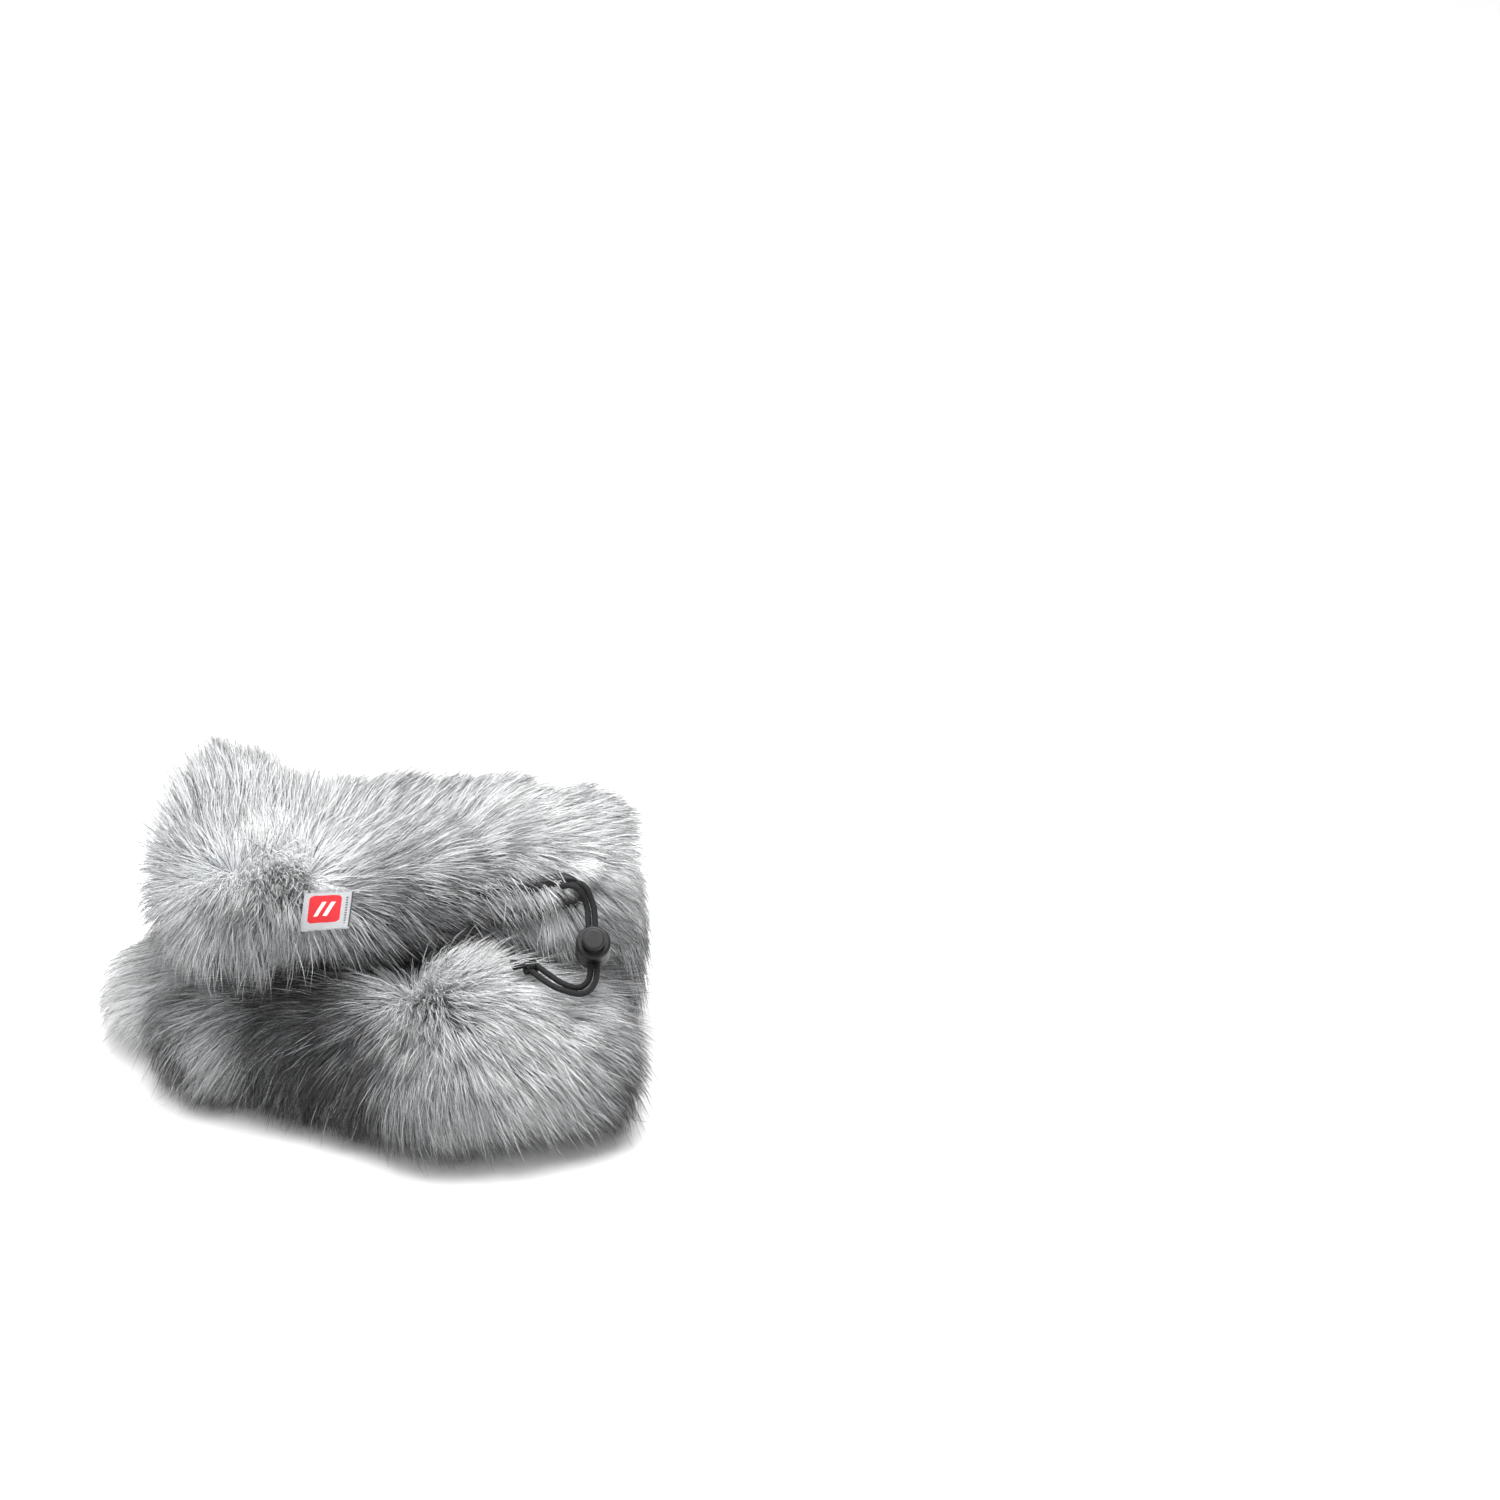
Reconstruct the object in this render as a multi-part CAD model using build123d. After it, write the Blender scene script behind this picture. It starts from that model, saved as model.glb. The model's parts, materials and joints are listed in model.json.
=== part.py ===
from build123d import *
import math
import os

# A long-pile fur cover for a blimp windshield, folded once across its middle and lying on its side.
# +X runs along the folded bundle towards the fold, -Y is the side with the slit, +Z is up.
# The origin is on the surface it lies on, under the middle of its box. Millimetres.

os.makedirs("parts", exist_ok=True)

# Driving dimensions
HINGE_X = 97.0  # the fold line between the two halves
HINGE_Z = 52.0
LAYER_GAP = 0.5  # from the hinge plane to each half
LEFT_X = -110.0
BACK_Y = 88.5
FOLD_REACH = 110.0  # how far out the fold's wall reaches
SEAM_X = -78.0  # where the tube is sewn to its end panels

LOWER_FRONT_Y = -36.5
LOBE_LEFT_X = -10.0  # the lower half's lobe that bulges forward
LOBE_FRONT_Y = -88.5
LOBE_BACK_Y = -22.5
LOBE_TOP_Z = 64.0
UPPER_FRONT_Y = -20.5
UPPER_LEFT_X = -104.0
FLAP_RIGHT_X = -14.0  # the upper half's front lobe that carries the label
FLAP_FRONT_Y = -35.5
PILE_ROUND = 22.0
LOBE_ROUND = 26.0

POCKET_FRONT_Y = -22.0
POCKET_BACK_Y = 73.5
LOWER_POCKET_Z = (18.0, 34.0)
UPPER_POCKET_FRONT_Y = -5.5
UPPER_POCKET_Z = (70.0, 91.0)
POCKET_LEFT_X = -90.0
POCKET_ROUND = 5.0
BACKING_T = 1.0
TAPE_T = 0.8
TAPE_W = 10.0
STITCH = (1.0, 2.6, 0.35)

HEM_LENGTH = 83.0  # the sewn casing round the slit
HEM_HEIGHT = 17.0
HEM_WIDTH = 4.6
HEM_DEPTH = 5.0
HEM_CENTRE = (44.0, 82.0)
HEM_TILT = 8.0
HEM_FRONT_Y = -14.5
CORD_D = 2.5
TUNNEL_D = 2.9
EXIT_ALONG = (32.2, 36.8)  # the two cord exits, along the casing from its middle

LABEL_WIDTH = 20.0
LABEL_LENGTH = 15.0
LABEL_SLOPE = 42.0  # degrees from vertical
LABEL_LAYER_T = 0.45
LABEL_X = -21.0
LABEL_PIVOT = (-26.9, 99.3)

LOCK_CENTRE = (86.5, -40.0, 76.9)
LOCK_TILT = 48.0  # the plunger points forward and this much up
BARREL_R = 7.2
BARREL_Z = (-9.0, 5.5)
BORE_R = 4.8
BORE_FLOOR = 1.3
PLUNGER_R = 4.7
PLUNGER_Z = (-2.9, 9.6)
CORD_LEVEL = -0.5  # the cords' height on the plunger's axis
CORD_SPACING = 2.8
CHANNEL_CLEAR = 0.3
PLUNGER_TRAVEL = 2.6
SPRING_WIRE_R = 0.35
SPRING_R = 3.4
SPRING_TURNS = 3

KNOT_CENTRE = (60.5, -40.5, 69.2)
KNOT_R = 4.0


def save(part, name):
    """Write one sub-part."""
    export_step(part, f"parts/{name}.step")


def span(x, y, z):
    """A plain block between two limits along each axis."""
    sizes = [high - low for low, high in (x, y, z)]
    middle = [(low + high) / 2 for low, high in (x, y, z)]
    return Pos(*middle) * Box(*sizes)


def pillow(x, y, z, r):
    """A block rounded all over, as a stuffed lobe of pile is."""
    block = span(x, y, z)
    return fillet(block.edges(), r)


def tube_block(x, y, z, r, shrink=0.0):
    """A block along X with its four long edges rounded, drawn in by shrink on its sides."""
    wide = y[1] - y[0] - 2 * shrink
    high = z[1] - z[0] - 2 * shrink
    profile = RectangleRounded(wide, high, max(r - shrink, 0.5))
    place = Plane(origin=(x[0], sum(y) / 2, sum(z) / 2), x_dir=(0, 1, 0), z_dir=(1, 0, 0))
    return extrude(place * profile, x[1] - x[0])


def ring_tube(x, y, z, r, start, thick):
    """A flattened tube along X: its outside is drawn in by start and its wall is thick."""
    inner = tube_block((x[0] - 1, x[1] + 1), y, z, r, start + thick)
    return tube_block(x, y, z, r, start) - inner


def slot_ring(outer, inner, back_y, depth):
    """A round-ended ring standing in the slit's plane, or a plug if inner is None."""
    profile = SlotOverall(*outer)
    if inner:
        profile = profile - SlotOverall(*inner)
    solid = extrude(Plane.XZ * profile, depth)
    return Pos(HEM_CENTRE[0], back_y, HEM_CENTRE[1]) * Rot(0, -HEM_TILT, 0) * solid


def hem_point(along, across, y):
    """A point in the slit's plane, from the casing's middle."""
    c = math.cos(math.radians(HEM_TILT))
    s = math.sin(math.radians(HEM_TILT))
    return (HEM_CENTRE[0] + along * c - across * s, y, HEM_CENTRE[1] + along * s + across * c)


def hem_core(diameter):
    """The closed round-ended loop that the drawcord makes inside the casing."""
    half_run = (HEM_LENGTH - HEM_HEIGHT) / 2
    bend = (HEM_HEIGHT - HEM_WIDTH) / 2
    r = diameter / 2
    loop = None
    for side in (-1, 1):
        run = Pos(0, 0, side * bend) * Rot(0, 90, 0) * Cylinder(r, 2 * half_run)
        tip = revolve(
            Plane(origin=(side * half_run, 0, bend), x_dir=(0, 1, 0), z_dir=(1, 0, 0)) * Circle(r),
            axis=Axis((side * half_run, 0, 0), (0, side, 0)),
            revolution_arc=180,
        )
        loop = run + tip if loop is None else loop + run + tip
    middle_y = HEM_FRONT_Y + HEM_DEPTH / 2
    return Pos(HEM_CENTRE[0], middle_y, HEM_CENTRE[1]) * Rot(0, -HEM_TILT, 0) * loop


def cord_tube(points, diameter, name):
    """A tube along straight runs joined by tangent arcs, with its radii and volume printed."""
    corners = [Vector(*p) for p in points]
    runs = [b - a for a, b in zip(corners, corners[1:])]
    radii = []
    for before, after in zip(runs, runs[1:]):
        half_turn = math.radians(before.get_angle(after)) / 2
        radii.append(0.45 * min(before.length, after.length) / math.tan(half_turn))
    path = FilletPolyline(*corners, radius=radii)
    start = Plane(origin=corners[0], z_dir=runs[0])
    tube = sweep(start * Circle(diameter / 2), path=path)
    expected = math.pi * (diameter / 2) ** 2 * path.length
    print(name, "length", round(path.length, 1), "radii", [round(r, 1) for r in radii])
    print(name, "volume", round(tube.volume, 1), "section x length", round(expected, 1))
    return tube


def half_shapes():
    """The outer pile shapes of the lower and the upper half."""
    past_fold = HINGE_X + 40
    lower = pillow((LEFT_X, past_fold), (LOWER_FRONT_Y, BACK_Y), (0, HINGE_Z - LAYER_GAP), PILE_ROUND)
    lobe = pillow((LOBE_LEFT_X, HINGE_X - LAYER_GAP), (LOBE_FRONT_Y, LOBE_BACK_Y), (0, LOBE_TOP_Z), LOBE_ROUND)
    upper_z = (HINGE_Z + LAYER_GAP, 2 * HINGE_Z)
    upper = pillow((UPPER_LEFT_X, past_fold), (UPPER_FRONT_Y, BACK_Y), upper_z, PILE_ROUND)
    flap_z = (upper_z[0] + 0.6, upper_z[1] - 1.2)
    flap = pillow((UPPER_LEFT_X + 4, FLAP_RIGHT_X), (FLAP_FRONT_Y, 20), flap_z, PILE_ROUND)
    return lower + lobe, upper + flap


def along_x(x0, x1):
    """The whole cross-section of space between two places along X."""
    return span((x0, x1), (-200, 200), (-50, 250))


def stitch_row(y_range, z_faces, x, step):
    """Short stitches on a tape's two broad inner faces."""
    row = []
    length = STITCH[1]
    for z_face, inward in z_faces:
        y = y_range[0]
        while y + length < y_range[1]:
            z_low, z_high = sorted((z_face, z_face + inward * STITCH[2]))
            row.append(span((x, x + STITCH[0]), (y, y + length), (z_low, z_high)))
            y += step
    return Compound(children=row)


def build_half(name, shape, pocket_y, pocket_z, mouth):
    """One half of the cover: pile panel, end panel, knitted backing, and the end seam inside."""
    cut_x = HINGE_X - LAYER_GAP
    pocket = tube_block((POCKET_LEFT_X, HINGE_X + 50), pocket_y, pocket_z, POCKET_ROUND)
    hollow = shape - pocket
    panel = hollow & along_x(SEAM_X, cut_x)
    if mouth:
        panel = panel - mouth
    save(panel, f"fur_{name}_panel")
    save(hollow & along_x(-300, SEAM_X), f"fur_{name}_end_panel")

    backing = ring_tube((SEAM_X, cut_x), pocket_y, pocket_z, POCKET_ROUND, 0, BACKING_T)
    if mouth:
        backing = backing - mouth
    save(backing, f"backing_{name}")
    cup = ring_tube((POCKET_LEFT_X, SEAM_X), pocket_y, pocket_z, POCKET_ROUND, 0, BACKING_T)
    closed_end = tube_block((POCKET_LEFT_X, POCKET_LEFT_X + BACKING_T), pocket_y, pocket_z, POCKET_ROUND)
    save(cup + closed_end, f"backing_{name}_end")

    tape_x = (SEAM_X - TAPE_W / 2, SEAM_X + TAPE_W / 2)
    save(ring_tube(tape_x, pocket_y, pocket_z, POCKET_ROUND, BACKING_T, TAPE_T), f"seam_tape_{name}")
    inset = BACKING_T + TAPE_T
    faces = ((pocket_z[0] + inset, 1), (pocket_z[1] - inset, -1))
    stitch_y = (pocket_y[0] + 8, pocket_y[1] - 8)
    save(stitch_row(stitch_y, faces, SEAM_X + 2, 6.0), f"seam_thread_{name}")


def build_fold():
    """The outer wall of the fold, which bunches up when the cover is laid out flat."""
    reach = FOLD_REACH - HINGE_X - LAYER_GAP
    x0 = HINGE_X + LAYER_GAP
    block = span((x0 - 60, FOLD_REACH), (UPPER_FRONT_Y + 4, BACK_Y - 6), (4, 2 * HINGE_Z - 4))
    wall = fillet(block.edges(), reach) & along_x(x0, FOLD_REACH + 1)
    inner = span((x0 - 1, x0 + 2), (POCKET_FRONT_Y + 20, POCKET_BACK_Y - 6), (20, 2 * HINGE_Z - 20))
    save(wall - inner, "fur_fold_wall")
    save(inner & along_x(x0, x0 + 1), "backing_fold")


def build_hem():
    """The fabric casing round the slit, its stitching, and the two reinforced cord exits."""
    opening = (HEM_LENGTH - 2 * HEM_WIDTH, HEM_HEIGHT - 2 * HEM_WIDTH)
    back = HEM_FRONT_Y + HEM_DEPTH
    casing = slot_ring((HEM_LENGTH, HEM_HEIGHT), opening, back, HEM_DEPTH) - hem_core(TUNNEL_D)
    across = (HEM_HEIGHT - HEM_WIDTH) / 2
    for along in EXIT_ALONG:
        x, y, z = hem_point(*exit_place(along), HEM_FRONT_Y)
        casing = casing - Pos(x, y, z) * Rot(90, 0, 0) * Cylinder(TUNNEL_D / 2, HEM_DEPTH)
    save(casing, "opening_hem_casing")
    save(hem_core(CORD_D), "drawcord_hem_loop")

    stitches = []
    lift = 0.35
    for side in (-1, 1):
        edge = side * (across - HEM_WIDTH / 2 + 0.5)
        for i in range(12):
            along = -30 + i * 5.0
            x, y, z = hem_point(along, edge, HEM_FRONT_Y - lift / 2)
            stitches.append(Pos(x, y, z) * Rot(0, -HEM_TILT, 0) * Box(2.8, lift, 0.45))
    save(Compound(children=stitches), "hem_stitching")

    bars = []
    for offset in (-4.6, 0.0, 5.2):
        middle = sum(EXIT_ALONG) / 2 + offset
        x, y, z = hem_point(*exit_place(middle), HEM_FRONT_Y - 0.25)
        bars.append(Pos(x, y, z) * Rot(0, -HEM_TILT, 0) * Box(0.8, 0.5, 3.4))
    save(Compound(children=bars), "cord_exit_bartacks")


def exit_place(along):
    """Where along the casing's upper run, or round its right end, a cord exit lies."""
    half_run = (HEM_LENGTH - HEM_HEIGHT) / 2
    bend = (HEM_HEIGHT - HEM_WIDTH) / 2
    if along <= half_run:
        return along, bend
    turn = (along - half_run) / bend
    return half_run + bend * math.sin(turn), bend * math.cos(turn)


def lock_plane():
    """The cord lock's own frame: its z is the plunger's axis, its y runs back up the cords."""
    tilt = math.radians(LOCK_TILT)
    return Plane(origin=LOCK_CENTRE, x_dir=(1, 0, 0), z_dir=(0, -math.cos(tilt), math.sin(tilt)))


def lock_point(x, y, z):
    """A point given in the cord lock's frame."""
    return tuple(lock_plane().from_local_coords(Vector(x, y, z)))


def drawcord_routes():
    """The two free strands: out of the hem, over to the lock, straight through it, and to the knot."""
    half = CORD_SPACING / 2
    middle_y = HEM_FRONT_Y + HEM_DEPTH / 2
    left_exit = hem_point(*exit_place(EXIT_ALONG[0]), middle_y)
    right_exit = hem_point(*exit_place(EXIT_ALONG[1]), middle_y)
    left = [
        left_exit,
        (left_exit[0], -18.6, left_exit[2]),
        (77.6, -23.2, 94.2),
        (82.2, -25.9, 93.5),
        lock_point(-half, 17.5, CORD_LEVEL),
        lock_point(-half, -9.6, CORD_LEVEL),
        (84.2, -50.2, 66.4),
        (80.2, -53.0, 64.7),
        (74.6, -51.4, 65.6),
        (68.8, -46.6, 67.4),
        (KNOT_CENTRE[0] + 2.6, KNOT_CENTRE[1] - 1.0, KNOT_CENTRE[2] + 0.8),
    ]
    right = [
        right_exit,
        (right_exit[0], -17.6, right_exit[2]),
        (84.4, -22.2, 94.5),
        lock_point(half, 17.5, CORD_LEVEL),
        lock_point(half, -9.4, CORD_LEVEL),
        (86.8, -52.2, 66.2),
        (82.0, -56.6, 63.7),
        (74.4, -56.6, 65.6),
        (66.6, -51.2, 67.0),
        (KNOT_CENTRE[0] + 0.4, KNOT_CENTRE[1] - 3.0, KNOT_CENTRE[2] - 0.6),
    ]
    return {"drawcord_left_strand": left, "drawcord_right_strand": right}


def build_drawcord():
    """The free strands and the knot that joins their ends."""
    for name, route in drawcord_routes().items():
        save(cord_tube(route, CORD_D, name), name)
    core = Pos(*KNOT_CENTRE) * Sphere(KNOT_R)
    wrap = Pos(*KNOT_CENTRE) * Rot(20, 65, 0) * Torus(KNOT_R - 0.6, 1.5)
    save(core + wrap, "cord_end_knot")


def build_lock():
    """The spring-loaded cord lock: barrel, plunger and spring, made in its own frame."""
    place = lock_plane().location
    length = BARREL_Z[1] - BARREL_Z[0]
    barrel = Pos(0, 0, sum(BARREL_Z) / 2) * Cylinder(BARREL_R, length)
    barrel = fillet(barrel.edges(), 1.2)
    bore_z = (BARREL_Z[0] + BORE_FLOOR, BARREL_Z[1] + 1)
    barrel = barrel - Pos(0, 0, sum(bore_z) / 2) * Cylinder(BORE_R, bore_z[1] - bore_z[0])
    channel_h = CORD_D + 2 * CHANNEL_CLEAR
    channel = extrude(Plane.XZ * SlotOverall(channel_h + CORD_SPACING, channel_h), 30, both=True)
    barrel = barrel - Pos(0, 0, CORD_LEVEL) * channel
    save(place * barrel, "cord_lock_barrel")

    length = PLUNGER_Z[1] - PLUNGER_Z[0]
    plunger = Pos(0, 0, sum(PLUNGER_Z) / 2) * Cylinder(PLUNGER_R, length)
    plunger = fillet(plunger.edges().sort_by(Axis.Z)[-1], 1.0)
    window = (CORD_LEVEL - CORD_D / 2 - 0.15, CORD_LEVEL + CORD_D / 2 + PLUNGER_TRAVEL + 0.2)
    wide = CORD_D + CORD_SPACING + 0.4
    plunger = plunger - span((-wide / 2, wide / 2), (-10, 10), window)
    save(place * plunger, "cord_lock_plunger")

    low = BARREL_Z[0] + BORE_FLOOR + SPRING_WIRE_R + 0.05
    high = PLUNGER_Z[0] - SPRING_WIRE_R - 0.05
    path = Helix(pitch=(high - low) / SPRING_TURNS, height=high - low, radius=SPRING_R)
    section = Plane(origin=path @ 0, z_dir=path % 0) * Circle(SPRING_WIRE_R)
    coil = sweep(section, path=path, is_frenet=True)
    save(place * Pos(0, 0, low) * coil, "cord_lock_spring")


def build_label():
    """A woven label folded at its lower edge, and the stitches that hold its top edge."""
    slope = math.radians(LABEL_SLOPE)
    frame = Plane(
        origin=(LABEL_X, *LABEL_PIVOT),
        x_dir=(1, 0, 0),
        z_dir=(0, -math.cos(slope), math.sin(slope)),
    )
    thick = 2 * LABEL_LAYER_T + 0.3
    half = LABEL_WIDTH / 2
    outside = span((-half, half), (-LABEL_LENGTH, -0.4), (-thick / 2, thick / 2))
    folded_edges = outside.edges().filter_by(Axis.X).sort_by(Axis.Y)[:2]
    outside = fillet(folded_edges, thick / 2 - 0.02)
    between = span((-half - 1, half + 1), (-LABEL_LENGTH + 0.8, 1), (-0.15, 0.15))
    save(frame.location * (outside - between), "woven_label")

    stitches = []
    for i in range(7):
        x = -8.4 + i * 2.8
        stitches.append(span((x - 0.9, x + 0.9), (0.0, 1.4), (-0.5, 0.4)))
    save(frame.location * Compound(children=stitches), "label_stitching")


def main():
    lower, upper = half_shapes()
    mouth = slot_ring((HEM_LENGTH, HEM_HEIGHT), None, UPPER_POCKET_FRONT_Y + 2, 60)
    build_half("lower", lower, (POCKET_FRONT_Y, POCKET_BACK_Y), LOWER_POCKET_Z, None)
    build_half("upper", upper, (UPPER_POCKET_FRONT_Y, POCKET_BACK_Y), UPPER_POCKET_Z, mouth)
    build_fold()
    build_hem()
    build_drawcord()
    build_lock()
    build_label()


main()
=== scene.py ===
import json
import math

import bmesh
import bpy
import numpy as np
from mathutils import Matrix, Vector, kdtree, noise


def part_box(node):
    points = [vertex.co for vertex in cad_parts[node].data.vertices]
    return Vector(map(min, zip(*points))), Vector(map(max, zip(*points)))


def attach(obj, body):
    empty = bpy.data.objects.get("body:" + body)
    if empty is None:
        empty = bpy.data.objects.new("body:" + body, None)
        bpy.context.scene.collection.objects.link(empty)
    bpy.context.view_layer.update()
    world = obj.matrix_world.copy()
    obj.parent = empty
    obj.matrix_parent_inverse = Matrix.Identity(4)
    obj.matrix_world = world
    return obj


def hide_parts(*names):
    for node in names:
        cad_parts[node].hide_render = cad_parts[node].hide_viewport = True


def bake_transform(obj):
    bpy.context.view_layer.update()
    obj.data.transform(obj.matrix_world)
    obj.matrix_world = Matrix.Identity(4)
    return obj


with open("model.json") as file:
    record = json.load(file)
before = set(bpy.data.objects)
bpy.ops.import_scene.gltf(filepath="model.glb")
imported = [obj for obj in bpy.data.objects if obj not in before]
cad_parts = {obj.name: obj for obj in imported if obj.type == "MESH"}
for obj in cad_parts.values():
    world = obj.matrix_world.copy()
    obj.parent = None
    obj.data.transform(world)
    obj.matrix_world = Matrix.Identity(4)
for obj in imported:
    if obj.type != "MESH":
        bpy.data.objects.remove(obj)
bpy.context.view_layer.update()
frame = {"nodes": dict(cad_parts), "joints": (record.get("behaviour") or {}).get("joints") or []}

# The looks of a long-pile fur wind cover, folded once. Metres, in the CAD frame: +X to the fold,
# -Y the side with the slit and the cord lock, +Z up.

MM = 0.001
UP = np.array([0.0, 0.0, 1.0])


def limits(*nodes):
    """The box round several CAD nodes, as (low, high) arrays."""
    corners = [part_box(n) for n in nodes]
    low = np.min([np.array(c[0]) for c in corners], axis=0)
    high = np.max([np.array(c[1]) for c in corners], axis=0)
    return low, high


LOWER_LOW, LOWER_HIGH = limits("fur_lower_panel", "fur_lower_end_panel")
UPPER_LOW, UPPER_HIGH = limits("fur_upper_panel", "fur_upper_end_panel")
END_LOW, END_HIGH = limits("fur_lower_end_panel")
FOLD_HIGH = limits("fur_fold_wall")[1]
JOINTS = {j["name"]: j for j in frame["joints"]}
HINGE = np.array(JOINTS["fold_open"]["pos_m"])
LABEL_AT = np.array(JOINTS["label_flap"]["pos_m"])


def add_object(name, data):
    piece = bpy.data.objects.new(name, data)
    bpy.context.scene.collection.objects.link(piece)
    return piece


def paint(data, mat):
    """Give mesh data one material."""
    data.materials.clear()
    data.materials.append(mat)


# ---------------------------------------------------------------- camera

VIEW_ELEVATION = math.radians(30)
VIEW_DISTANCE = 2.2
FIELD_WIDTH = 0.625  # the picture's width at the object
AIM_RIGHT = 0.157  # the object stands left of the picture's middle and below it
AIM_UP = 0.0915
SENSOR = 36.0


def make_camera():
    data = bpy.data.cameras.new("camera")
    data.sensor_width = SENSOR
    data.lens = SENSOR * VIEW_DISTANCE / FIELD_WIDTH
    camera = add_object("camera", data)
    middle = Vector((0.0, -0.0085, 0.045))
    back = Vector((0.0, -math.cos(VIEW_ELEVATION), math.sin(VIEW_ELEVATION)))
    up = Vector((0.0, math.sin(VIEW_ELEVATION), math.cos(VIEW_ELEVATION)))
    camera.location = middle + back * VIEW_DISTANCE
    aim = middle + Vector((AIM_RIGHT, 0.0, 0.0)) + up * AIM_UP
    camera.rotation_euler = (aim - camera.location).to_track_quat("-Z", "Y").to_euler()
    bpy.context.scene.camera = camera
    bpy.context.scene.view_settings.view_transform = "Standard"


# ---------------------------------------------------------------- cord routes

CORD_D = 0.0025
KNOT = Vector((0.0605, -0.0405, 0.0692))


def lock_frame():
    """The cord lock's frame: its z is the plunger's axis, its y runs back up the cords."""
    press = JOINTS["lock_press"]["axis"]
    z = -Vector(press)
    x = Vector((1, 0, 0))
    y = z.cross(x)
    centre = Vector((0.0865, -0.0400, 0.0769))
    return Matrix.Translation(centre) @ Matrix((x, y, z)).transposed().to_4x4()


def lock_point(x, y, z):
    return tuple(lock_frame() @ Vector((x * MM, y * MM, z * MM)))


LEFT_ROUTE = [
    (0.07502, -0.0120, 0.09262),
    (0.07502, -0.0186, 0.0932),
    (0.0772, -0.0232, 0.0968),
    (0.0818, -0.0256, 0.0966),
    lock_point(-1.4, 17.5, -0.5),
    lock_point(-1.4, 11.5, -0.5),
    lock_point(-1.4, -4.5, -0.5),
    lock_point(-1.4, -9.6, -0.5),
    (0.0842, -0.0502, 0.0664),
    (0.0802, -0.0530, 0.0647),
    (0.0746, -0.0514, 0.0656),
    (0.0688, -0.0466, 0.0674),
    (KNOT.x + 0.0026, KNOT.y - 0.0010, KNOT.z + 0.0008),
]
RIGHT_ROUTE = [
    (0.07951, -0.0120, 0.09211),
    (0.07951, -0.0176, 0.0928),
    (0.0842, -0.0222, 0.0972),
    lock_point(1.4, 17.5, -0.5),
    lock_point(1.4, 9.4, -0.5),
    lock_point(1.4, -2.5, -0.5),
    lock_point(1.4, -9.4, -0.5),
    (0.0868, -0.0522, 0.0662),
    (0.0820, -0.0566, 0.0637),
    (0.0744, -0.0566, 0.0656),
    (0.0666, -0.0512, 0.0670),
    (KNOT.x + 0.0004, KNOT.y - 0.0030, KNOT.z - 0.0006),
]


def nurbs(name, points, radius):
    """A smooth round cord along one open NURBS spline."""
    data = bpy.data.curves.new(name, "CURVE")
    data.dimensions = "3D"
    data.bevel_depth = radius
    data.bevel_resolution = 5
    data.resolution_u = 10
    data.use_fill_caps = True
    spline = data.splines.new("NURBS")
    spline.points.add(len(points) - 1)
    for point, place in zip(spline.points, points):
        point.co = (*place, 1.0)
    spline.order_u = 3
    spline.use_endpoint_u = True
    return add_object(name, data)


def line_of(points):
    """The spline's own line, as an array of points."""
    bare = nurbs("bare_line", points, 0.0)
    mesh = bpy.data.meshes.new_from_object(bare)
    line = np.array([v.co for v in mesh.vertices], float)
    data = bare.data
    bpy.data.objects.remove(bare)
    bpy.data.curves.remove(data)
    bpy.data.meshes.remove(mesh)
    return line


def length_of(line):
    return float(np.linalg.norm(np.diff(line, axis=0), axis=1).sum())


# ---------------------------------------------------------------- materials

def new_material(name, colour, roughness, **values):
    """A Principled material with its plain values set on the shader's own sockets."""
    mat = bpy.data.materials.new(name)
    mat.use_nodes = True
    shader = mat.node_tree.nodes["Principled BSDF"]
    shader.inputs["Base Color"].default_value = (*colour, 1.0)
    shader.inputs["Roughness"].default_value = roughness
    for socket, value in values.items():
        shader.inputs[socket.replace("_", " ")].default_value = value
    return mat


def node(mat, kind, **settings):
    made = mat.node_tree.nodes.new(kind)
    for key, value in settings.items():
        setattr(made, key, value)
    return made


def link(mat, a, b):
    mat.node_tree.links.new(a, b)


def ramp(mat, fac, stops):
    """A colour ramp over fac with (place, grey or colour) stops."""
    made = node(mat, "ShaderNodeValToRGB")
    elements = made.color_ramp.elements
    while len(elements) < len(stops):
        elements.new(0.5)
    for element, (place, colour) in zip(elements, stops):
        element.position = place
        colour = (colour, colour, colour) if isinstance(colour, float) else colour
        element.color = (*colour, 1.0)
    link(mat, fac, made.inputs["Fac"])
    return made.outputs["Color"]


def plug(mat, value, socket):
    """Link another node's output to a socket, or set it to a plain value."""
    if isinstance(value, float):
        socket.default_value = value
    else:
        link(mat, value, socket)


def math_node(mat, operation, *values):
    made = node(mat, "ShaderNodeMath", operation=operation)
    for value, socket in zip(values, made.inputs):
        plug(mat, value, socket)
    return made.outputs[0]


def mix_colour(mat, factor, a, b, blend="MIX"):
    made = node(mat, "ShaderNodeMix", data_type="RGBA", blend_type=blend)
    for value, slot in ((factor, 0), (a, 6), (b, 7)):
        plug(mat, value, made.inputs[slot])
    return made.outputs[2]


def noise_of(mat, scale, detail=2.0):
    """A noise in object space."""
    made = node(mat, "ShaderNodeTexNoise")
    made.inputs["Scale"].default_value = scale
    made.inputs["Detail"].default_value = detail
    link(mat, node(mat, "ShaderNodeTexCoord").outputs["Object"], made.inputs["Vector"])
    return made.outputs["Fac"]


def wave_of(mat, place, axis, scale, distortion=0.0):
    """Bands across one axis of place."""
    made = node(mat, "ShaderNodeTexWave", wave_type="BANDS", bands_direction=axis)
    made.inputs["Scale"].default_value = scale
    made.inputs["Distortion"].default_value = distortion
    link(mat, place, made.inputs["Vector"])
    return made.outputs["Fac"]


def feed(mat, socket, value):
    link(mat, value, shader_of(mat).inputs[socket])


def clamped(mat, value):
    return math_node(mat, "MAXIMUM", math_node(mat, "MINIMUM", value, 1.0), 0.0)


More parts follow.
